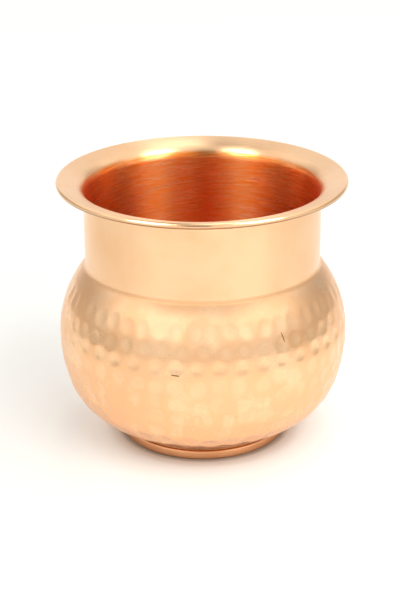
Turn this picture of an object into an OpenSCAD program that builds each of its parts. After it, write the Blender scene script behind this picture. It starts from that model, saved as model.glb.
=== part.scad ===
// Hammered copper kalash (lota): a wide-mouthed water pot on a low foot ring.
// Every piece is a solid of revolution about Z, drawn as a half section and turned.
// The floor is z = 0, and the middle of the foot is the origin. Sizes are in millimetres.

/* [Overall] */
// Height from the floor to the top of the lip
overall_h = 103; // [101:0.5:106]
// Thickness of the copper sheet that the neck and the belly are worked from
sheet_t = 0.6; // [0.5:0.05:0.8]

/* [Lip] */
// Outside diameter of the flared lip
lip_d = 110; // [107:0.5:114]
// Diameter of the stiffening wire that the lip's edge is rolled round
wire_d = 1.0; // [0.8:0.1:1.4]
// Slope at which the lip still rises where it meets its bead, in degrees
lip_slope = 8; // [2:1:20]
// How far the sheet turns round the wire, in degrees
curl_turn = 270; // [200:5:280]
// Radius of the tight bend from the neck out into the lip
bend_r = 5.5; // [4:0.5:7]
// Radius of the gentler curve from the bend out to the bead
flare_r = 25; // [20:1:30]

/* [Neck] */
// Outside diameter of the straight neck
neck_d = 90; // [87:0.5:93]
// How far the neck's turned-out end reaches under the shoulder
lap_w = 3; // [2:0.5:5]

/* [Belly] */
// Diameter at the belly's widest line
belly_d = 111; // [108:0.5:114]
// Height of the widest line above the floor
widest_h = 42; // [40:0.5:44]
// Radius of the section from the widest line up to the neck
shoulder_r = 41; // [38:0.5:43]
// Radius of the section just below the widest line
flank_r = 60; // [52:1:70]
// Radius of the section where the belly turns under to its flat base
turn_r = 28; // [25:0.5:30]
// Height of the flat base above the floor
base_h = 5.4; // [5.2:0.1:6]

/* [Foot] */
// Outside diameter of the foot's band
foot_d = 64.4; // [62:0.2:67]
// Height of the foot's band
band_h = 3.4; // [3:0.1:3.5]
// Depth of the groove above the band
groove_d = 1.2; // [0.8:0.1:1.4]
// Wall of the foot at the groove
foot_wall = 1.3; // [1:0.1:1.6]

/* [Brazing] */
// Thickness of the filler between two joined faces
film_t = 0.1; // [0.05:0.05:0.15]
// Leg of the fillet that the braze leaves in the crease under the neck
neck_fillet = 1.1; // [0.6:0.1:1.5]
// Leg of the fillet that the solder leaves round the foot
foot_fillet = 0.5; // [0.3:0.1:0.6]

/* [Hidden] */
$fn = 180;

bright_copper = [0.95, 0.74, 0.55];
satin_copper = [0.96, 0.78, 0.60];
dark_copper = [0.80, 0.50, 0.32];
braze_colour = [0.86, 0.62, 0.40];

neck_r = neck_d / 2;
neck_in_r = neck_r - sheet_t;

// Lip: the inner face turns out in a tight bend, then a gentler curve runs into the bead round the wire.
wire_r = wire_d / 2;
bead_r = wire_r + sheet_t;
lip_a = 90 + lip_slope;
wire_c = [lip_d / 2 - bead_r, overall_h - bead_r];
flare_c = wire_c - (flare_r - bead_r) * [cos(lip_a), sin(lip_a)];
flare_a = acos((neck_in_r + bend_r - flare_c.x) / (flare_r - bend_r));
bend_c = flare_c + (flare_r - bend_r) * [cos(flare_a), sin(flare_a)];

// Belly: three arcs that follow on from each other, then the flat base.
shoulder_c = [belly_d / 2 - shoulder_r, widest_h];
flank_c = [belly_d / 2 - flank_r, widest_h];
turn_a = asin((widest_h - base_h - turn_r) / (flank_r - turn_r));
turn_c = flank_c + (flank_r - turn_r) * [cos(turn_a), -sin(turn_a)];

// Neck joint: the neck stands in the belly's mouth, and its end is turned out under the shoulder.
skirt_r = shoulder_r - sheet_t - film_t;
crease = [neck_r, shoulder_c.y + sqrt(shoulder_r ^ 2 - (neck_r - shoulder_c.x) ^ 2)];
lap_a = angle_at(shoulder_c, skirt_r, neck_r) - degrees_of(lap_w, skirt_r);
toe_a = angle_at(shoulder_c, shoulder_r, neck_r) - degrees_of(neck_fillet, shoulder_r);

// Foot joint: the ring's top follows the belly's underside.
band_r = foot_d / 2;
groove_r = band_r - groove_d;
foot_in_r = groove_r - foot_wall;
foot_in_a = -angle_at(turn_c, turn_r + film_t, foot_in_r);
foot_out_a = -angle_at(turn_c, turn_r + film_t, groove_r);
solder_toe_a = foot_out_a + degrees_of(foot_fillet, turn_r);
foot_corner = turn_c + turn_r * [cos(foot_out_a), sin(foot_out_a)];

// Angle at which a circle about c reaches the distance x from the axis
function angle_at(c, r, x) = acos((x - c.x) / r);

// Angle that a length takes up along a circle
function degrees_of(length, r) = length / r * 180 / PI;

// Points along an arc about c; skip_first and skip_last leave out shared end points
function arc(c, r, a0, a1, step = 4, skip_first = 0, skip_last = 0) =
    let (n = ceil(abs(a1 - a0) / step))
    [for (i = [skip_first:n - skip_last])
        let (a = a0 + (a1 - a0) * i / n) c + r * [cos(a), sin(a)]];

// Points along a rounded corner from p to q, without p and q themselves
function rounded(p, corner, q, n = 5) =
    [for (i = [1:n - 1]) let (t = i / n) (1 - t) ^ 2 * p + 2 * t * (1 - t) * corner + t ^ 2 * q];

function reversed(points) = [for (i = [len(points) - 1:-1:0]) points[i]];

// One face of the belly's sheet, from the mouth's edge down to the axis
function belly_line(inset, shoulder_break_a) = concat(
    arc(shoulder_c, shoulder_r - inset, mouth_a(inset), shoulder_break_a),
    arc(shoulder_c, shoulder_r - inset, shoulder_break_a, 0, skip_first = 1),
    arc(flank_c, flank_r - inset, 0, -turn_a, skip_first = 1),
    arc(turn_c, turn_r - inset, -turn_a, solder_toe_a, skip_first = 1),
    arc(turn_c, turn_r - inset, solder_toe_a, foot_out_a, skip_first = 1),
    arc(turn_c, turn_r - inset, foot_out_a, foot_in_a, skip_first = 1),
    arc(turn_c, turn_r - inset, foot_in_a, -90, skip_first = 1),
    [[0, base_h + inset]]);

// Angle at which a face of the belly's sheet ends at the mouth
function mouth_a(inset) = angle_at(shoulder_c, shoulder_r - inset, neck_r + film_t);

// One face of the neck's sheet, from the top of its straight part out to the bead
function lip_line(inset) = concat(
    arc(bend_c, bend_r - inset, 180, flare_a),
    arc(flare_c, flare_r - inset, flare_a, lip_a, step = 2, skip_first = 1));

// The inside of the curl, which is also where the wire's surface lies
function wire_seat() = arc(wire_c, wire_r, lip_a - curl_turn, lip_a, step = 15);

// Upper face of the neck's turned-out end
function skirt_top() = arc(shoulder_c, skirt_r, angle_at(shoulder_c, skirt_r, neck_r), lap_a);

module turned(points) {
    rotate_extrude() polygon(points);
}

// Copper wire inside the rolled edge of the lip
module lip_wire() {
    color(dark_copper)
        turned(concat(
            wire_seat(),
            arc(wire_c, wire_r, lip_a, lip_a + 360 - curl_turn, step = 15, skip_first = 1, skip_last = 1)));
}

// Straight neck with the flared lip, the curl round the wire and the turned-out lower end
module neck_collar() {
    inner_end_a = angle_at(shoulder_c, skirt_r - sheet_t, neck_in_r);
    color(satin_copper)
        turned(concat(
            lip_line(0),
            arc(wire_c, bead_r, lip_a, lip_a - curl_turn, step = 15, skip_first = 1),
            wire_seat(),
            reversed(lip_line(sheet_t)),
            skirt_top(),
            arc(shoulder_c, skirt_r - sheet_t, lap_a, inner_end_a)));
}

// Filler between the neck's end and the shoulder, with its fillet in the crease
module neck_braze() {
    toe = shoulder_c + shoulder_r * [cos(toe_a), sin(toe_a)];
    top = crease + [0, neck_fillet];
    color(braze_colour)
        turned(concat(
            [top],
            skirt_top(),
            arc(shoulder_c, shoulder_r - sheet_t, lap_a, mouth_a(sheet_t)),
            arc(shoulder_c, shoulder_r, mouth_a(0), toe_a),
            rounded(toe, crease, top)));
}

// Globular belly of one sheet, from the mouth's edge to the flat base
module belly_shell() {
    color(bright_copper)
        turned(concat(belly_line(0, toe_a), reversed(belly_line(sheet_t, lap_a))));
}

// Solder between the belly's underside and the foot, with its fillet in the groove
module foot_solder() {
    toe = turn_c + turn_r * [cos(solder_toe_a), sin(solder_toe_a)];
    low = foot_corner - [0, film_t + foot_fillet];
    color(braze_colour)
        turned(concat(
            arc(turn_c, turn_r, foot_in_a, foot_out_a),
            arc(turn_c, turn_r, foot_out_a, solder_toe_a, skip_first = 1),
            rounded(toe, foot_corner, [groove_r, low.y]),
            [[groove_r, low.y]],
            arc(turn_c, turn_r + film_t, foot_out_a, foot_in_a)));
}

// Foot ring: a plain band under a groove, flat where it stands on the floor
module foot_ring() {
    edge = 0.6;
    groove_low = band_h + groove_d;
    color(dark_copper)
        turned(concat(
            arc(turn_c, turn_r + film_t, foot_in_a, foot_out_a),
            [[groove_r, groove_low]],
            rounded([groove_r, groove_low], [groove_r, band_h], [band_r - edge, band_h]),
            [[band_r - edge, band_h]],
            rounded([band_r - edge, band_h], [band_r, band_h], [band_r, band_h - edge]),
            [[band_r, band_h - edge], [band_r, edge]],
            rounded([band_r, edge], [band_r, 0], [band_r - edge, 0]),
            [[band_r - edge, 0], [foot_in_r + edge, 0]],
            rounded([foot_in_r + edge, 0], [foot_in_r, 0], [foot_in_r, edge]),
            [[foot_in_r, edge]]));
}

lip_wire();
neck_collar();
neck_braze();
belly_shell();
foot_solder();
foot_ring();
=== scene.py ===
"""A hammered copper kalash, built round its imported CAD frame.

Every shown piece is a closed mesh turned about Z. The belly carries its hammer marks as real
dents in the sheet, the neck and lip are spun smooth, and the foot is a plain dull band.
Lengths are in metres and angles in radians, unless a name or a comment says otherwise.
"""

import math

import bpy
import numpy as np
from mathutils import Matrix, Vector


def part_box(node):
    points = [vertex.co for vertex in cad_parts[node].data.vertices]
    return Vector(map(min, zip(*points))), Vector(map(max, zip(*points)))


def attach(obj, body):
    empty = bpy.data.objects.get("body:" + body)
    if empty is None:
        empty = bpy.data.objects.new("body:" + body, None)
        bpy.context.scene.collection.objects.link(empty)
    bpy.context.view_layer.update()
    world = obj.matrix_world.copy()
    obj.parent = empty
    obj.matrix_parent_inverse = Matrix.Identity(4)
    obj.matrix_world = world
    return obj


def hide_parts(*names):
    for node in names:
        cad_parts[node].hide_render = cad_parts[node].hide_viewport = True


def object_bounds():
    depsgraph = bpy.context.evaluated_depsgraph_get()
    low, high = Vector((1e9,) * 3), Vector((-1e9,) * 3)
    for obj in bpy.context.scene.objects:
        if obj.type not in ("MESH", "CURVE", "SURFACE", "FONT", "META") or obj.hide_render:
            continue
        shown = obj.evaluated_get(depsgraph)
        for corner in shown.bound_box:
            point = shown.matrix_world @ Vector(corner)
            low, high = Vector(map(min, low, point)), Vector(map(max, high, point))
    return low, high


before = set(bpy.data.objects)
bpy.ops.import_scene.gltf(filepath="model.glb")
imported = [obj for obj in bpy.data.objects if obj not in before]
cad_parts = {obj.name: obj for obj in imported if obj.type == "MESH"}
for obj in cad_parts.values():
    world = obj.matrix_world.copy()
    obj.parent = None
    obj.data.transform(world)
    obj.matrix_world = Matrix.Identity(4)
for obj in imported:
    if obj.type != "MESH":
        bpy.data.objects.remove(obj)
CAD_LOW, CAD_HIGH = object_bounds()

MM = 0.001
BODY = "root"

# ---------------------------------------------------------------- sizes, from the frame


def outer_radius(node):
    low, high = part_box(node)
    return (high.x - low.x) / 2


SHEET = 0.6 * MM
FILM = 0.1 * MM
WIRE_R = (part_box("lip_wire")[1].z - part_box("lip_wire")[0].z) / 2
BEAD_R = WIRE_R + SHEET
LIP_R = outer_radius("neck_collar")
TOP_Z = CAD_HIGH.z
NECK_R = 45 * MM
NECK_IN_R = NECK_R - SHEET
BELLY_R = outer_radius("belly_shell")
BASE_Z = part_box("belly_shell")[0].z
FOOT_R = outer_radius("foot_ring")

# The section's own shape, as the frame has it.
WIDEST_Z = 42 * MM
SHOULDER_R = 41 * MM
FLANK_R = 60 * MM
TURN_R = 28 * MM
BEND_R = 5.5 * MM
FLARE_R = 25 * MM
LIP_ANGLE = math.radians(98)
CURL_TURN = math.radians(270)
LAP_W = 3 * MM
NECK_FILLET = 1.1 * MM
BAND_H = 3.4 * MM
GROOVE_D = 1.2 * MM
FOOT_WALL = 1.3 * MM
FOOT_FILLET = 0.5 * MM
FOOT_EDGE = 0.6 * MM


def point(centre, radius, angle):
    """The point of a circle in the section plane, as (distance from the axis, height)."""
    return np.array(centre) + radius * np.array([math.cos(angle), math.sin(angle)])


def angle_at(centre, radius, distance):
    """Angle at which a circle in the section plane reaches that distance from the axis."""
    return math.acos((distance - centre[0]) / radius)


WIRE_C = np.array([LIP_R - BEAD_R, TOP_Z - BEAD_R])
FLARE_C = point(WIRE_C, BEAD_R - FLARE_R, LIP_ANGLE)
FLARE_A = math.acos((NECK_IN_R + BEND_R - FLARE_C[0]) / (FLARE_R - BEND_R))
BEND_C = point(FLARE_C, FLARE_R - BEND_R, FLARE_A)
SHOULDER_C = np.array([BELLY_R - SHOULDER_R, WIDEST_Z])
FLANK_C = np.array([BELLY_R - FLANK_R, WIDEST_Z])
TURN_A = math.asin((WIDEST_Z - BASE_Z - TURN_R) / (FLANK_R - TURN_R))
TURN_C = point(FLANK_C, FLANK_R - TURN_R, -TURN_A)
SKIRT_R = SHOULDER_R - SHEET - FILM
LAP_A = angle_at(SHOULDER_C, SKIRT_R, NECK_R) - LAP_W / SKIRT_R
MOUTH_R = NECK_R + FILM
GROOVE_R = FOOT_R - GROOVE_D
FOOT_IN_R = GROOVE_R - FOOT_WALL
FOOT_IN_A = -angle_at(TURN_C, TURN_R + FILM, FOOT_IN_R)
FOOT_OUT_A = -angle_at(TURN_C, TURN_R + FILM, GROOVE_R)

# ---------------------------------------------------------------- section outlines


def arc(centre, radius, start, end, spacing, skip_first=False):
    """Evenly spaced points along an arc, as rows of (distance from the axis, height)."""
    count = max(2, math.ceil(abs(end - start) * radius / spacing)) + 1
    angles = np.linspace(start, end, count)[1 if skip_first else 0:]
    return np.array(centre) + radius * np.stack([np.cos(angles), np.sin(angles)], axis=1)


def line(start, end, spacing, skip_first=False):
    length = math.hypot(end[0] - start[0], end[1] - start[1])
    count = max(1, math.ceil(length / spacing)) + 1
    steps = np.linspace(0, 1, count)[1 if skip_first else 0:, None]
    return (1 - steps) * np.array(start) + steps * np.array(end)


def rounded(start, corner, end, count=8):
    """Points of a rounded corner, without its two ends."""
    t = np.linspace(0, 1, count + 1)[1:-1, None]
    return (1 - t) ** 2 * np.array(start) + 2 * t * (1 - t) * np.array(corner) + t ** 2 * np.array(end)


def belly_face(inset, spacing):
    """One face of the belly's sheet, from the mouth's edge down to the edge of the flat base."""
    mouth = angle_at(SHOULDER_C, SHOULDER_R - inset, MOUTH_R)
    return np.concatenate([
        arc(SHOULDER_C, SHOULDER_R - inset, mouth, 0, spacing),
        arc(FLANK_C, FLANK_R - inset, 0, -TURN_A, spacing, skip_first=True),
        arc(TURN_C, TURN_R - inset, -TURN_A, -math.pi / 2, spacing, skip_first=True)])


def lip_face(inset, spacing):
    """One face of the neck's sheet, from the top of its straight part out to the bead."""
    return np.concatenate([
        arc(BEND_C, BEND_R - inset, math.pi, FLARE_A, spacing),
        arc(FLARE_C, FLARE_R - inset, FLARE_A, LIP_ANGLE, spacing, skip_first=True)])


def lengths_along(points):
    """Distance along an outline up to each of its points."""
    steps = np.hypot(*np.diff(points, axis=0).T)
    return np.concatenate([[0], np.cumsum(steps)])


# ---------------------------------------------------------------- meshes


SHARP_ANGLE = math.radians(50)


def add_object(name, data):
    thing = bpy.data.objects.new(name, data)
    bpy.context.scene.collection.objects.link(thing)
    return thing


def make_piece(name, vertices, faces, material, nodes, along=None, inside=None, planished=None):
    """A smooth mesh piece that rides on the pot's body and stands for the named CAD nodes.

    Its materials read three attributes: the distance along the section, whether a point is on the
    inside of the pot, and how far the hammer has pressed the sheet there.
    """
    mesh = bpy.data.meshes.new(name)
    mesh.from_pydata(vertices.tolist(), [], faces)
    mesh.polygons.foreach_set("use_smooth", [True] * len(mesh.polygons))
    mesh.set_sharp_from_angle(angle=SHARP_ANGLE)
    for label, values in (("along", along), ("inside", inside), ("planished", planished)):
        if values is not None:
            layer = mesh.attributes.new(label, "FLOAT", "POINT")
            layer.data.foreach_set("value", np.asarray(values, dtype=np.float32))
    mesh.materials.append(material)
    mesh.validate()
    piece = add_object(name, mesh)
    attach(piece, BODY)
    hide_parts(*nodes)
    return piece


def spin(outline, segments):
    """Points of a closed outline turned about Z, ring by ring."""
    turn = np.arange(segments) * 2 * math.pi / segments
    radius, height = outline[:, 0, None], outline[:, 1, None]
    return np.stack([radius * np.cos(turn), radius * np.sin(turn), height + 0 * turn], axis=2)


def ring_faces(first, second, segments):
    """Quads between two rings that have the same number of points."""
    return [(first + j, first + (j + 1) % segments, second + (j + 1) % segments, second + j)
            for j in range(segments)]


def turned(name, outline, segments, material, nodes, inside=None):
    """A closed ring-shaped piece: the outline is a closed loop that stays clear of the axis."""
    rings = len(outline)
    vertices = spin(outline, segments).reshape(-1, 3)
    faces = []
    for i in range(rings):
        faces += ring_faces(i * segments, (i + 1) % rings * segments, segments)
    along = np.repeat(lengths_along(outline), segments)
    inside = None if inside is None else np.repeat(inside, segments)
    return make_piece(name, vertices, faces, material, nodes, along, inside)


# ---------------------------------------------------------------- hammer marks

RANDOM = np.random.default_rng(11)
# The depth at which a mark counts as fully planished.
FULL_DENT = 0.3 * MM
# Spread of a mark's size and of its depth, as shares of its row's own.
SIZE_SPREAD = (0.88, 1.12)
DEPTH_SPREAD = (0.65, 1.25)
ROW_SPACING = 7 * MM

# Rows of marks from the shoulder down: height in mm, number round the belly, half width and
# half height in mm, depth in mm, and how far marks stray, as a share of their spacing.
MARK_ROWS = [
    (60.6, 50, 2.8, 3.6, 0.20, 0.05),
    (53.8, 46, 2.7, 2.9, 0.22, 0.10),
    (47.9, 43, 2.8, 2.7, 0.44, 0.04),
    (40.6, 45, 3.8, 3.7, 0.34, 0.14),
    (33.6, 43, 4.0, 3.9, 0.38, 0.16),
    (27.0, 42, 4.1, 4.0, 0.42, 0.16),
    (20.6, 39, 4.1, 4.0, 0.44, 0.15),
    (14.6, 35, 4.0, 3.8, 0.44, 0.13),
    (9.9, 31, 3.8, 3.2, 0.40, 0.10),
]


def hammer_marks():
    """Every mark as (turn, height, half width, half height, depth), in radians and metres."""
    marks = []
    for row, (height, count, width, tall, depth, stray) in enumerate(MARK_ROWS):
        for k in range(count):
            shift = RANDOM.uniform(-stray, stray, 2)
            scale = RANDOM.uniform(*SIZE_SPREAD, 2)
            deep = RANDOM.uniform(*DEPTH_SPREAD)
            marks.append((
                2 * math.pi * (k + 0.5 * (row % 2) + shift[0]) / count,
                height * MM + shift[1] * ROW_SPACING,
                width * scale[0] * MM,
                tall * scale[1] * MM,
                depth * deep * MM))
    return marks


def dent_field(face, along, turn, marks, heights, lengths):
    """How far the sheet is pressed in at each point of a face, as rings by turns."""
    dents = np.zeros((len(face), len(turn)))
    for mark_turn, height, width, tall, depth in marks:
        centre = np.interp(-height, -heights, lengths)
        up = (along - centre) / tall
        rings = np.nonzero(np.abs(up) < 1)[0]
        across = (turn - mark_turn + math.pi) % (2 * math.pi) - math.pi
        radius = np.interp(centre, along, face[:, 0])
        across = across * radius / width
        columns = np.nonzero(np.abs(across) < 1)[0]
        if len(rings) == 0 or len(columns) == 0:
            continue
        reach = up[rings, None] ** 2 + across[None, columns] ** 2
        bowl = depth * np.clip(1 - reach, 0, None)
        block = np.ix_(rings, columns)
        dents[block] = np.maximum(dents[block], bowl)
    return dents


def normals_of(face):
    """Outward unit normals of an outline that runs downwards on the outside."""
    tangent = np.gradient(face, axis=0)
    tangent /= np.hypot(*tangent.T)[:, None]
    return np.stack([-tangent[:, 1], tangent[:, 0]], axis=1)


def pressed(face, dents, turn):
    """A face turned about Z with its dents pressed in along the sheet's normal."""
    normal = normals_of(face)
    radius = face[:, 0, None] - dents * normal[:, 0, None]
    height = face[:, 1, None] - dents * normal[:, 1, None]
    return np.stack([radius * np.cos(turn), radius * np.sin(turn), height], axis=2)


# Points round each turned piece, and their greatest distance along its section.
NECK_SEGMENTS = 384
FOOT_SEGMENTS = 320
WIRE_SEGMENTS = 320
FOOT_SPACING = 0.5 * MM
WIRE_SPACING = 0.16 * MM
BRAZE_SPACING = 0.6 * MM

# Rings across the flat base, as shares of its radius.
BASE_RINGS = np.array([0.8, 0.5, 0.2])
# Points round each side of the belly's sheet, and their greatest distance along its section.
INNER_COUNT = 240
OUTER_COUNT = 2 * INNER_COUNT
INNER_SPACING = 1.35 * MM
OUTER_SPACING = 0.72 * MM
# How much of a mark's depth shows on the inside of the sheet.
INNER_PRESS = 0.85


def belly_side(outer, face, count, press, marks):
    """Points of one side of the hammered sheet, ring by ring and then its pole, with two attributes.

    The attributes are the distance along the section and how far the hammer has pressed the sheet.
    """
    turn = np.arange(count) * 2 * math.pi / count
    heights, lengths = outer[:, 1], lengths_along(outer)
    run = lengths_along(face) * lengths[-1] / lengths_along(face)[-1]
    dents = press * dent_field(face, run, turn, marks, heights, lengths)
    base_r, base_z = face[-1]
    flat = np.stack([base_r * BASE_RINGS, np.full(len(BASE_RINGS), base_z)], axis=1)
    rings = np.concatenate([pressed(face, dents, turn), spin(flat, count)])
    points = np.concatenate([rings.reshape(-1, 3), [[0, 0, base_z]]])
    run = np.concatenate([run, run[-1] + base_r * (1 - BASE_RINGS)])
    along = np.append(np.repeat(run, count), run[-1] + base_r * BASE_RINGS[-1])
    planished = np.zeros(len(points))
    planished[:dents.size] = (dents / FULL_DENT).reshape(-1)
    return points, along, planished


def side_faces(first, rings, count):
    """Quads down one side of the sheet, from its first point on, then triangles round its pole."""
    last = first + (rings - 1) * count
    faces = []
    for start in range(first, last, count):
        faces += ring_faces(start, start + count, count)
    pole = last + count
    return faces + [(last + j, last + (j + 1) % count, pole) for j in range(count)]


def mouth_faces(outer_start, inner_start):
    """Triangles across the sheet's edge at the mouth, where the outside has twice as many points."""
    faces = []
    for j in range(INNER_COUNT):
        a, b = inner_start + j, inner_start + (j + 1) % INNER_COUNT
        low, mid, high = (outer_start + (2 * j + k) % OUTER_COUNT for k in range(3))
        faces += [(low, mid, a), (mid, b, a), (mid, high, b)]
    return faces


def make_belly(material):
    """The hammered sheet: an outer and an inner side down to the axis, joined round the mouth."""
    outer, inner = belly_face(0, OUTER_SPACING), belly_face(SHEET, INNER_SPACING)
    marks = hammer_marks()
    outer_side = belly_side(outer, outer, OUTER_COUNT, 1.0, marks)
    inner_side = belly_side(outer, inner, INNER_COUNT, INNER_PRESS, marks)
    points, along, planished = (np.concatenate(both) for both in zip(outer_side, inner_side))
    inner_start = len(outer_side[0])
    inside = np.arange(len(points)) >= inner_start
    outer_faces = side_faces(0, len(outer) + len(BASE_RINGS), OUTER_COUNT)
    faces = [corners[::-1] for corners in outer_faces]
    faces += side_faces(inner_start, len(inner) + len(BASE_RINGS), INNER_COUNT)
    faces += mouth_faces(0, inner_start)
    return make_piece("belly", points, faces, material, ["belly_shell"],
                      along, inside, planished)


def make_neck(material):
    """The lip, its curl round the wire, the straight neck and the end turned out under the shoulder."""
    skirt_a = angle_at(SHOULDER_C, SKIRT_R, NECK_R)
    inner_a = angle_at(SHOULDER_C, SKIRT_R - SHEET, NECK_IN_R)
    inner_low = point(SHOULDER_C, SKIRT_R - SHEET, inner_a)
    outer_low = point(SHOULDER_C, SKIRT_R, skirt_a)
    wall, bend, fine = 1.5 * MM, 0.4 * MM, 0.14 * MM
    inner_side = np.concatenate([
        line(inner_low, (NECK_IN_R, BEND_C[1]), wall)[:-1],
        lip_face(0, bend)])
    outer_side = np.concatenate([
        arc(WIRE_C, BEAD_R, LIP_ANGLE, LIP_ANGLE - CURL_TURN, fine, skip_first=True),
        arc(WIRE_C, WIRE_R, LIP_ANGLE - CURL_TURN, LIP_ANGLE, fine),
        lip_face(SHEET, bend)[::-1][1:],
        line((NECK_R, BEND_C[1]), outer_low, wall, skip_first=True),
        arc(SHOULDER_C, SKIRT_R, skirt_a, LAP_A, bend, skip_first=True)])
    skirt_under = arc(SHOULDER_C, SKIRT_R - SHEET, LAP_A, inner_a, bend)[:-1]
    outline = np.concatenate([inner_side, outer_side, skirt_under])[::-1]
    parts = [(inner_side, 1.0), (outer_side, 0.0), (skirt_under, 1.0)]
    inside = np.concatenate([np.full(len(points), value) for points, value in parts])
    return turned("neck", outline, NECK_SEGMENTS, material, ["neck_collar"], inside[::-1])


def make_braze(material):
    shoulder_in = SHOULDER_R - SHEET
    skirt_a = angle_at(SHOULDER_C, SKIRT_R, NECK_R)
    crease_a = angle_at(SHOULDER_C, SHOULDER_R, NECK_R)
    toe_a = crease_a - NECK_FILLET / SHOULDER_R
    crease, toe = point(SHOULDER_C, SHOULDER_R, crease_a), point(SHOULDER_C, SHOULDER_R, toe_a)
    top = crease + np.array([0, NECK_FILLET])
    spacing = BRAZE_SPACING
    outline = np.concatenate([
        [top],
        arc(SHOULDER_C, SKIRT_R, skirt_a, LAP_A, spacing),
        arc(SHOULDER_C, shoulder_in, LAP_A, angle_at(SHOULDER_C, shoulder_in, MOUTH_R), spacing),
        arc(SHOULDER_C, SHOULDER_R, angle_at(SHOULDER_C, SHOULDER_R, MOUTH_R), toe_a, spacing),
        rounded(toe, crease, top)])
    return turned("neck_joint", outline, NECK_SEGMENTS, material, ["neck_braze"])


def make_foot(material):
    groove_low = BAND_H + GROOVE_D
    outline = np.concatenate([
        arc(TURN_C, TURN_R + FILM, FOOT_IN_A, FOOT_OUT_A, FOOT_SPACING),
        [(GROOVE_R, groove_low)],
        rounded((GROOVE_R, groove_low), (GROOVE_R, BAND_H), (FOOT_R - FOOT_EDGE, BAND_H)),
        [(FOOT_R - FOOT_EDGE, BAND_H)],
        rounded((FOOT_R - FOOT_EDGE, BAND_H), (FOOT_R, BAND_H), (FOOT_R, BAND_H - FOOT_EDGE)),
        line((FOOT_R, BAND_H - FOOT_EDGE), (FOOT_R, FOOT_EDGE), FOOT_SPACING),
        rounded((FOOT_R, FOOT_EDGE), (FOOT_R, 0), (FOOT_R - FOOT_EDGE, 0)),
        line((FOOT_R - FOOT_EDGE, 0), (FOOT_IN_R + FOOT_EDGE, 0), FOOT_SPACING),
        rounded((FOOT_IN_R + FOOT_EDGE, 0), (FOOT_IN_R, 0), (FOOT_IN_R, FOOT_EDGE)),
        [(FOOT_IN_R, FOOT_EDGE)]])
    return turned("foot", outline[::-1], FOOT_SEGMENTS, material, ["foot_ring"])


def make_foot_joint(material):
    toe_a = FOOT_OUT_A + FOOT_FILLET / TURN_R
    toe, corner = point(TURN_C, TURN_R, toe_a), point(TURN_C, TURN_R, FOOT_OUT_A)
    low = (GROOVE_R, corner[1] - FILM - FOOT_FILLET)
    outline = np.concatenate([
        arc(TURN_C, TURN_R, FOOT_IN_A, toe_a, FOOT_SPACING),
        rounded(toe, corner, low),
        [low],
        arc(TURN_C, TURN_R + FILM, FOOT_OUT_A, FOOT_IN_A, FOOT_SPACING)])
    return turned("foot_joint", outline[::-1], FOOT_SEGMENTS, material, ["foot_solder"])


def make_wire(material):
    outline = arc(WIRE_C, WIRE_R, 0, 2 * math.pi, WIRE_SPACING)[:-1]
    return turned("wire", outline, WIRE_SEGMENTS, material, ["lip_wire"])


# ---------------------------------------------------------------- materials


class Shader:
    """A node tree with short calls for the nodes that the materials use."""

    def __init__(self, name, world=None):
        self.owner = world or bpy.data.materials.new(name)
        self.owner.use_nodes = True
        self.tree = self.owner.node_tree
        self.tree.nodes.clear()

    def add(self, kind, inputs=None, **settings):
        node = self.tree.nodes.new(kind)
        for key, value in settings.items():
            setattr(node, key, value)
        for key, value in (inputs or {}).items():
            self.put(node.inputs[key], value)
        return node

    def put(self, socket, value):
        if isinstance(value, bpy.types.NodeSocket):
            self.tree.links.new(value, socket)
        else:
            socket.default_value = value

    def math(self, operation, a, b=0.0):
        return self.add("ShaderNodeMath", {0: a, 1: b}, operation=operation).outputs[0]

    def product(self, first, *others):
        for other in others:
            first = self.math("MULTIPLY", first, other)
        return first

    def ramp(self, value, low, high, to_low=0.0, to_high=1.0, smooth=True):
        """The value's way from low to high, or from high down to low, as a number between the last two."""
        kind = "SMOOTHSTEP" if smooth else "LINEAR"
        node = self.add("ShaderNodeMapRange", {0: value, 1: low, 2: high, 3: to_low, 4: to_high},
                        interpolation_type=kind)
        return node.outputs[0]

    def mix(self, factor, a, b):
        node = self.add("ShaderNodeMix", data_type="RGBA")
        self.put(node.inputs[0], factor)
        self.put(node.inputs[6], a)
        self.put(node.inputs[7], b)
        return node.outputs[2]

    def blend(self, factor, a, b):
        return self.add("ShaderNodeMix", {0: factor, 2: a, 3: b}).outputs[0]

    def noise(self, vector, scale, detail, roughness):
        node = self.add("ShaderNodeTexNoise", {"Vector": vector, "Scale": scale, "Detail": detail,
                                               "Roughness": roughness})
        return node.outputs[0]

    def attribute(self, name):
        return self.add("ShaderNodeAttribute", attribute_name=name).outputs["Fac"]

    def place(self):
        return self.add("ShaderNodeTexCoord").outputs["Object"]

    def vector(self, operation, a, b):
        return self.add("ShaderNodeVectorMath", {0: a, 1: b}, operation=operation)

    def split(self, vector):
        """A vector's X, Y and Z."""
        return tuple(self.add("ShaderNodeSeparateXYZ", {0: vector}).outputs)

    def around(self, across, depth):
        """X and Y of the unit vector that points the same way, seen from above."""
        flat = self.add("ShaderNodeCombineXYZ", {0: across, 1: depth})
        unit = self.add("ShaderNodeVectorMath", {0: flat.outputs[0]}, operation="NORMALIZE")
        return self.split(unit.outputs[0])[:2]


def lathe_noise(shader, round_scale, along_scale, detail, roughness=0.5, slant=0.0):
    """Noise that changes slowly round the pot and fast along its section, without a seam.

    With a slant, its lines rise by that many metres from one side of the pot to the other.
    """
    across, depth, _ = shader.split(shader.place())
    side, behind = shader.around(across, depth)
    rise = shader.product(side, slant / 2)
    along = shader.product(shader.math("ADD", shader.attribute("along"), rise), along_scale)
    parts = {0: shader.product(side, round_scale), 1: shader.product(behind, round_scale), 2: along}
    place = shader.add("ShaderNodeCombineXYZ", parts).outputs[0]
    return shader.noise(place, scale=1.0, detail=detail, roughness=roughness)


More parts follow.
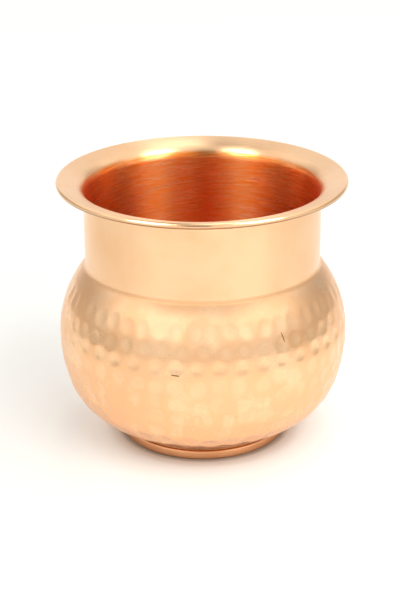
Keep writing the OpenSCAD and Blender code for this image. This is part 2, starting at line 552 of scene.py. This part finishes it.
COPPER = (0.96, 0.615, 0.36, 1)
COPPER_WARM = (0.945, 0.57, 0.315, 1)
COPPER_TAWNY = (0.93, 0.54, 0.29, 1)
# The inside colours are painted deep red: painted shade for the dim light reflected many times inside the
# pot.
INNER_COPPER = (0.96, 0.44, 0.17, 1)
INNER_DEEP = (0.86, 0.22, 0.02, 1)
BELLY_INSIDE_SHADE = (0.70, 0.15, 0.03, 1)
# Painted shade for the crease under the lip's bead and the groove over the foot.
CREASE_SHADE = (0.36, 0.17, 0.08, 1)
DULL = (0.90, 0.49, 0.26, 1)
DULL_WARM = (0.82, 0.42, 0.21, 1)
SOLDER = (0.50, 0.27, 0.15, 1)
SOLDER_DARK = (0.32, 0.16, 0.08, 1)
JOINT_WARM = (0.90, 0.52, 0.27, 1)
DRAWN = (0.80, 0.42, 0.22, 1)
DRAWN_WARM = (0.72, 0.36, 0.18, 1)

# Roughness of the neck's outside, its inside and the belly, from the best polished patches to
# the dullest.
OUTSIDE_POLISH = (0.19, 0.24)
INSIDE_POLISH = (0.27, 0.34)
BELLY_POLISH = (0.26, 0.31)

# How strongly the satin neck and the hammered belly stretch their highlights, out of 1, and the
# part of a turn that sets the direction in which they are stretched.
SATIN = 0.93
HAMMERED = 0.4
ALONG_SECTION = 0.25
ROUND_THE_POT = 0.0


def copper(name, tone, warm, roughness, rough_spread, brushing, line_depth, shade_from=None):
    """Metal with patches of tone, uneven polish and fine lines from turning.

    Above the height given, if there is one, it is painted darker: painted shade in the groove over the
    foot.
    """
    shader = Shader(name)
    patches = shader.noise(shader.place(), scale=60.0, detail=4.0, roughness=0.6)
    lines = lathe_noise(shader, round_scale=6.0, along_scale=3200.0, detail=3.0)
    colour = shader.mix(shader.ramp(patches, 0.35, 0.7), tone, warm)
    # Painted shade: darker above the given height.
    if shade_from is not None:
        height_up = shader.split(shader.place())[2]
        colour = shader.mix(shader.ramp(height_up, shade_from, shade_from + 0.5 * MM), colour, CREASE_SHADE)
    rough = shader.ramp(patches, 0.3, 0.7, roughness - rough_spread, roughness + rough_spread)
    finish_metal(shader, colour, rough, brushing, ALONG_SECTION, lines, line_depth)
    return shader.owner


def finish_metal(shader, colour, rough, brushing, rotation, height, depth):
    """The metal itself, with brushing as the strength of its anisotropy and a bump of that depth."""
    bump = shader.add("ShaderNodeBump", {"Strength": 1.0, "Distance": depth, "Height": height})
    tangent = shader.add("ShaderNodeTangent", direction_type="RADIAL", axis="Z")
    metal = shader.add("ShaderNodeBsdfPrincipled", {
        "Base Color": colour, "Metallic": 1.0, "Roughness": rough, "Anisotropic": brushing,
        "Anisotropic Rotation": rotation, "Normal": bump.outputs[0], "Tangent": tangent.outputs[0]})
    shader.add("ShaderNodeOutputMaterial", {0: metal.outputs[0]})


def neck_copper():
    """Satin outside, with fine level lines and painted shade in the crease under the lip's bead.

    The inside is painted redder up to the bend, as painted shade, with slanting brush lines and pale
    scratches.
    """
    shader = Shader("satin_copper")
    inside = shader.attribute("inside")
    height_up = shader.split(shader.place())[2]
    patches = shader.noise(shader.place(), scale=45.0, detail=4.0, roughness=0.6)
    level_lines = lathe_noise(shader, round_scale=5.0, along_scale=2600.0, detail=3.0)
    brushed = lathe_noise(shader, 3.0, 1500.0, detail=3.0, roughness=0.6, slant=8 * MM)
    strokes = lathe_noise(shader, 4.0, 2600.0, detail=2.0, slant=-10 * MM)
    scratches = shader.ramp(strokes, 0.60, 0.70)

    outer = shader.mix(shader.ramp(patches, 0.35, 0.7), COPPER, COPPER_WARM)
    # Painted shade: a dark band on the outside, from the bead's lower half down into the crease under it.
    wire_z = WIRE_C[1]
    under_bead_shade = shader.ramp(height_up, wire_z + 0.1 * MM, wire_z - 0.6 * MM, 0.0, 0.95)
    crease = shader.ramp(height_up, wire_z - 3 * MM, wire_z - 1.5 * MM)
    outside = shader.math("SUBTRACT", 1.0, inside)
    outer = shader.mix(shader.product(under_bead_shade, crease, outside), outer, CREASE_SHADE)

    inner = shader.mix(shader.ramp(brushed, 0.35, 0.65), INNER_COPPER, INNER_DEEP)
    inner = shader.mix(shader.product(scratches, 0.6), inner, COPPER)
    # Painted shade: up to the bend the inside takes the deep red colours.
    deep_inside_shade = shader.ramp(height_up, BEND_C[1] + 3.6 * MM, BEND_C[1] + 2.2 * MM)
    colour = shader.mix(shader.product(inside, deep_inside_shade), outer, inner)

    outer_rough = shader.ramp(patches, 0.3, 0.7, *OUTSIDE_POLISH)
    inner_rough = shader.ramp(brushed, 0.3, 0.7, *INSIDE_POLISH)
    rough = shader.blend(inside, outer_rough, inner_rough)
    worn = shader.math("ADD", shader.product(brushed, 0.45), shader.product(scratches, 0.18))
    height = shader.blend(inside, shader.product(level_lines, 0.12), worn)
    finish_metal(shader, colour, rough, SATIN, ALONG_SECTION, height, 0.06 * MM)
    return shader.owner


# Two small nicks in the belly: turn from the front in degrees, height, length and width in mm,
# and lean from upright in degrees.
NICKS = [(32.9, 56.0, 4.6, 0.45, -14.0), (-10.6, 45.6, 3.6, 0.5, 94.0)]
NICK_BROWN = (0.20, 0.09, 0.035, 1)


def nick(shader, turn, height, length, width, lean):
    """How far a point lies in a thin scratch, from 0 to 1."""
    turn, lean = math.radians(turn), math.radians(lean)
    outward = Vector((math.sin(turn), -math.cos(turn), 0))
    level = Vector((math.cos(turn), math.sin(turn), 0))
    upright = Vector((0, 0, 1))
    from_centre = shader.vector("SUBTRACT", shader.place(), height * MM * upright).outputs[0]

    def reach(direction):
        return shader.vector("DOT_PRODUCT", from_centre, direction).outputs["Value"]

    def within(direction, size):
        return shader.ramp(shader.math("ABSOLUTE", reach(direction)), size / 2 * MM, size / 4 * MM)

    long_way = within(math.sin(lean) * level + math.cos(lean) * upright, length)
    short_way = within(math.cos(lean) * level - math.sin(lean) * upright, width)
    near_side = shader.math("GREATER_THAN", reach(outward), 0.0)
    return shader.product(long_way, short_way, near_side)


# Distance down the belly from the mouth over which the turned lines fade out.
TURNED_LINES = (6 * MM, 10 * MM)


def belly_copper():
    """Planished copper, paler in the hammer marks and warmer in clouds and in the lower belly's streaks.

    The shoulder has fine turned lines, and the inside is painted a deep red-brown, as painted shade.
    """
    shader = Shader("hammered_copper")
    height_up = shader.split(shader.place())[2]
    clouds = shader.noise(shader.place(), scale=90.0, detail=3.0, roughness=0.55)
    patches = shader.noise(shader.place(), scale=35.0, detail=4.0, roughness=0.6)
    runs = lathe_noise(shader, round_scale=11.0, along_scale=45.0, detail=2.0)

    cloudy = shader.ramp(shader.blend(0.45, clouds, patches), 0.36, 0.62, 0.15, 1.3)
    planished = shader.ramp(shader.attribute("planished"), 0.05, 0.75)
    warmth = shader.math("SUBTRACT", cloudy, shader.product(planished, 0.6))
    warmth = shader.math("ADD", warmth, shader.ramp(height_up, WIDEST_Z, 22 * MM, 0.0, 0.35))
    below = shader.ramp(height_up, WIDEST_Z - 2 * MM, 30 * MM, 0.0, 0.9)
    warmth = shader.math("ADD", warmth, shader.product(shader.ramp(runs, 0.48, 0.66), below))

    colour = shader.mix(shader.ramp(warmth, 0.0, 1.0, smooth=False), COPPER, COPPER_TAWNY)
    nicked = shader.math("MAXIMUM", *[nick(shader, *values) for values in NICKS])
    colour = shader.mix(nicked, colour, NICK_BROWN)
    # Painted shade: the inside of the sheet is painted deep red-brown.
    colour = shader.mix(shader.attribute("inside"), colour, BELLY_INSIDE_SHADE)

    rough = shader.ramp(clouds, 0.3, 0.7, *BELLY_POLISH)
    lines = lathe_noise(shader, round_scale=4.0, along_scale=2400.0, detail=2.0)
    fade_start, fade_end = TURNED_LINES
    turned_part = shader.ramp(shader.attribute("along"), fade_end, fade_start, 0.08, 1.0)
    height = shader.product(lines, turned_part)
    finish_metal(shader, colour, rough, HAMMERED, ROUND_THE_POT, height, 0.012 * MM)
    return shader.owner


# ---------------------------------------------------------------- camera

CAMERA_DISTANCE = 0.600
CAMERA_ELEVATION = math.radians(22.23)
CAMERA_ROLL = math.radians(-0.45)
AIM = Vector((-0.0009, 0, 0.0524))
# Height and focal length of the picture, in its own pixels, and the sensor's size in mm.
IMAGE_H = 601
FOCAL_PX = 1545.4
SENSOR = 36.0


def facing(back, place):
    """The pose of a camera or a light at a place, looking away from the direction called back."""
    turn = back.to_track_quat("Z", "Y").to_matrix().to_4x4()
    return Matrix.Translation(place) @ turn


def make_camera():
    data = bpy.data.cameras.new("camera")
    data.sensor_width = SENSOR
    data.lens = FOCAL_PX * SENSOR / IMAGE_H
    data.clip_start, data.clip_end = 0.01, 50
    camera = add_object("camera", data)
    back = Vector((0, -math.cos(CAMERA_ELEVATION), math.sin(CAMERA_ELEVATION)))
    roll = Matrix.Rotation(CAMERA_ROLL, 4, "Z")
    camera.matrix_world = facing(back, AIM + CAMERA_DISTANCE * back) @ roll
    bpy.context.scene.camera = camera


# ---------------------------------------------------------------- floor, cards and lights


def grey(level):
    return (level, level, 0.98 * level, 1)


FLOOR_HALF = 4.0
PAPER = grey(0.84)
FOOT_SHADE = grey(0.40)

# Strength of the floor's glow on the pot's left and right, and farther off behind it and in front.
GLOW_LEFT = 0.06
GLOW_RIGHT = 0.20
GLOW_BEHIND = 0.14
GLOW_AHEAD = 0.12

# Where the ring of glow comes in and goes out, as distances from the pot's middle.
GLOW_START = (0.033, 0.041)
GLOW_END = (0.20, 0.14)

# The cards stand this far to each side, and reach from near to far and up to this height.
CARD_ACROSS = 0.55
CARD_NEAR, CARD_FAR, CARD_HIGH = -0.3, 0.6, 0.12
CARD_GREY = (0.62, 0.60, 0.55, 1)

LIGHT_AIM = Vector((0, 0, 0.06))
LIGHT_WHITE = (1.0, 0.99, 0.96)


def floor_material():
    """Pale paper, darker just round the foot as a painted shadow, that glows a little to stay white to the
    picture's edge.

    It glows in a ring round the pot, less on the left, and again far behind and far in front.
    """
    shader = Shader("floor")
    across, depth, _ = shader.split(shader.place())
    away = shader.add("ShaderNodeVectorMath", {0: shader.place()}, operation="LENGTH").outputs["Value"]
    # Painted shadow: the paper is darker within and just round the foot.
    shade = shader.mix(shader.ramp(away, FOOT_R, FOOT_R + 3 * MM), FOOT_SHADE, PAPER)

    side = shader.ramp(across, -0.085, -0.02, GLOW_LEFT, GLOW_RIGHT)
    ring = shader.product(shader.ramp(away, *GLOW_START), shader.ramp(away, *GLOW_END))
    far_behind = shader.ramp(depth, 0.05, 0.30, 0.0, GLOW_BEHIND)
    far_ahead = shader.ramp(depth, -0.15, -0.30, 0.0, GLOW_AHEAD)
    ends = shader.math("ADD", far_behind, far_ahead)
    glow = shader.math("ADD", shader.product(ring, side), ends)

    surface = shader.add("ShaderNodeBsdfPrincipled", {
        "Base Color": shade, "Roughness": 0.7,
        "Emission Color": (1, 1, 0.97, 1), "Emission Strength": glow})
    shader.add("ShaderNodeOutputMaterial", {0: surface.outputs[0]})
    return shader.owner


def make_floor():
    half = FLOOR_HALF
    mesh = bpy.data.meshes.new("floor")
    corners = [(-half, -half, 0), (half, -half, 0), (half, half, 0), (-half, half, 0)]
    mesh.from_pydata(corners, [], [(0, 1, 2, 3)])
    mesh.materials.append(floor_material())
    floor = add_object("floor", mesh)
    return floor


def make_card(name, across):
    """A grey card at one side of the pot, which only reflections show."""
    mesh = bpy.data.meshes.new(name)
    edge = [(CARD_NEAR, MM), (CARD_FAR, MM), (CARD_FAR, CARD_HIGH), (CARD_NEAR, CARD_HIGH)]
    mesh.from_pydata([(across, depth, up) for depth, up in edge], [], [(0, 1, 2, 3)])
    shader = Shader(name)
    surface = shader.add("ShaderNodeBsdfDiffuse", {"Color": CARD_GREY})
    shader.add("ShaderNodeOutputMaterial", {0: surface.outputs[0]})
    mesh.materials.append(shader.owner)
    card = add_object(name, mesh)
    card.visible_camera = False
    card.visible_diffuse = False
    card.visible_shadow = False


def make_softbox(name, azimuth, elevation, width, height, radiance, lit=None):
    """A soft light that faces the pot, a metre away, for all that is there or only for the pieces lit.

    Azimuth and elevation are in degrees, and azimuth 0 is the camera's side.
    """
    data = bpy.data.lights.new(name, "AREA")
    data.shape = "RECTANGLE"
    data.size, data.size_y = width, height
    data.energy = radiance * math.pi * width * height
    data.color = LIGHT_WHITE
    light = add_object(name, data)
    a, e = math.radians(azimuth), math.radians(elevation)
    away = Vector((math.sin(a) * math.cos(e), -math.cos(a) * math.cos(e), math.sin(e)))
    light.matrix_world = facing(away, LIGHT_AIM + away)
    if lit:
        receivers = bpy.data.collections.new(name)
        for piece in lit:
            receivers.objects.link(piece)
        light.light_linking.receiver_collection = receivers


# ---------------------------------------------------------------- the studio round it

# Radiance of the studio by direction. The gap is the narrow dim strip over the camera.
SIDE_WALLS = grey(0.84)
BACK_LOW = grey(0.55)
BACK_HIGH = grey(1.2)
BACKDROP = grey(1.0)
FRONT_LOW = grey(0.9)
FRONT_HIGH = grey(1.05)
FRONT_TOP = grey(0.85)
GAP = grey(0.04)
CEILING_LEFT = grey(0.9)
CEILING_RIGHT = grey(1.25)
CEILING_STRIP = grey(3.0)
CEILING_BEAM = grey(0.05)

# Edges of the gap, the strip and the beam, each from where it starts to where it is full, as parts
# of a unit direction.
GAP_LEFT = (-0.34, -0.24)
GAP_RIGHT = (0.17, 0.07)
GAP_TOP = (0.85, 0.65)
GAP_FOOT = (0.18, 0.30)
STRIP_LEFT = (-0.03, 0.04)
STRIP_RIGHT = (0.22, 0.12)
BEAM_LEFT = (-0.34, -0.26)
BEAM_RIGHT = (-0.02, -0.08)


def studio_walls(shader, across, depth, up):
    """The walls: even at the sides, brighter high at the back, and with the gap in the front."""
    side, behind = shader.around(across, depth)
    front = shader.ramp(behind, 0.0, -0.55)
    back = shader.mix(shader.ramp(up, 0.35, 0.6), BACK_LOW, BACK_HIGH)
    walls = shader.mix(shader.ramp(behind, 0.0, 0.45), SIDE_WALLS, back)
    walls = shader.mix(shader.ramp(behind, 0.78, 0.92), walls, BACKDROP)
    ahead = shader.mix(shader.ramp(up, 0.1, 0.4), FRONT_LOW, FRONT_HIGH)
    ahead = shader.mix(shader.ramp(up, 0.62, 0.76), ahead, FRONT_TOP)
    walls = shader.mix(front, walls, ahead)
    gap_wide = shader.product(shader.ramp(side, *GAP_LEFT), shader.ramp(side, *GAP_RIGHT))
    gap_tall = shader.product(shader.ramp(up, *GAP_TOP), shader.ramp(up, *GAP_FOOT))
    return shader.mix(shader.product(gap_wide, gap_tall, front), walls, GAP)


def studio_ceiling(shader, across, depth, up, walls):
    """A ceiling over the walls, brighter on the right, with a bright strip and a dark beam at the back."""
    ceiling = shader.mix(shader.ramp(across, -0.25, 0.25), CEILING_LEFT, CEILING_RIGHT)
    colour = shader.mix(shader.ramp(up, 0.82, 0.95), walls, ceiling)
    back_part = shader.product(shader.ramp(depth, 0.08, 0.22), shader.ramp(up, 0.78, 0.86))
    strip = shader.product(shader.ramp(across, *STRIP_LEFT), shader.ramp(across, *STRIP_RIGHT))
    beam = shader.product(shader.ramp(across, *BEAM_LEFT), shader.ramp(across, *BEAM_RIGHT))
    colour = shader.mix(shader.product(strip, back_part), colour, CEILING_STRIP)
    return shader.mix(shader.product(beam, back_part), colour, CEILING_BEAM)


def make_world():
    world = bpy.data.worlds.new("studio")
    bpy.context.scene.world = world
    shader = Shader("studio", world)
    across, depth, up = shader.split(shader.add("ShaderNodeTexCoord").outputs["Generated"])
    walls = studio_walls(shader, across, depth, up)
    colour = studio_ceiling(shader, across, depth, up, walls)
    background = shader.add("ShaderNodeBackground", {0: colour, 1: 1.0})
    shader.add("ShaderNodeOutputWorld", {0: background.outputs[0]})


# ---------------------------------------------------------------- the whole scene

make_camera()
floor = make_floor()
make_world()
make_softbox("softbox_left", azimuth=-57, elevation=36, width=1.00, height=0.46, radiance=0.45)
make_softbox("softbox_right", azimuth=58, elevation=36, width=1.05, height=0.46, radiance=0.5)
make_card("card_left", -CARD_ACROSS)
make_card("card_right", CARD_ACROSS)

satin = neck_copper()
hammered = belly_copper()
# The foot's band is painted darker at its top: painted shade in the groove under the belly.
dull = copper("dull_copper", DULL, DULL_WARM, roughness=0.34, rough_spread=0.05, brushing=0.3,
              line_depth=0.02 * MM, shade_from=BAND_H - 0.1 * MM)
solder = copper("stained_solder", SOLDER, SOLDER_DARK, roughness=0.45, rough_spread=0.05, brushing=0.0,
                line_depth=0.02 * MM)
joint = copper("joint_copper", COPPER_WARM, JOINT_WARM, roughness=0.36, rough_spread=0.04, brushing=0.3,
               line_depth=0.01 * MM)
drawn = copper("drawn_copper", DRAWN, DRAWN_WARM, roughness=0.40, rough_spread=0.05, brushing=0.0,
               line_depth=0.01 * MM)

belly = make_belly(hammered)
neck = make_neck(satin)
braze = make_braze(joint)
make_foot(dull)
make_foot_joint(solder)
make_wire(drawn)

make_softbox("front_fill", azimuth=-5, elevation=31, width=0.52, height=0.66, radiance=0.95,
             lit=[belly, braze])
make_softbox("lip_left", azimuth=-48, elevation=44, width=0.40, height=0.60, radiance=7.0, lit=[neck])
make_softbox("lip_right", azimuth=53, elevation=44, width=0.40, height=0.60, radiance=7.4, lit=[neck])
make_softbox("floor_key", azimuth=30, elevation=50, width=0.70, height=0.60, radiance=3.0, lit=[floor])

scene = bpy.context.scene
scene.view_settings.view_transform = "Standard"
scene.cycles.glossy_bounces = 12
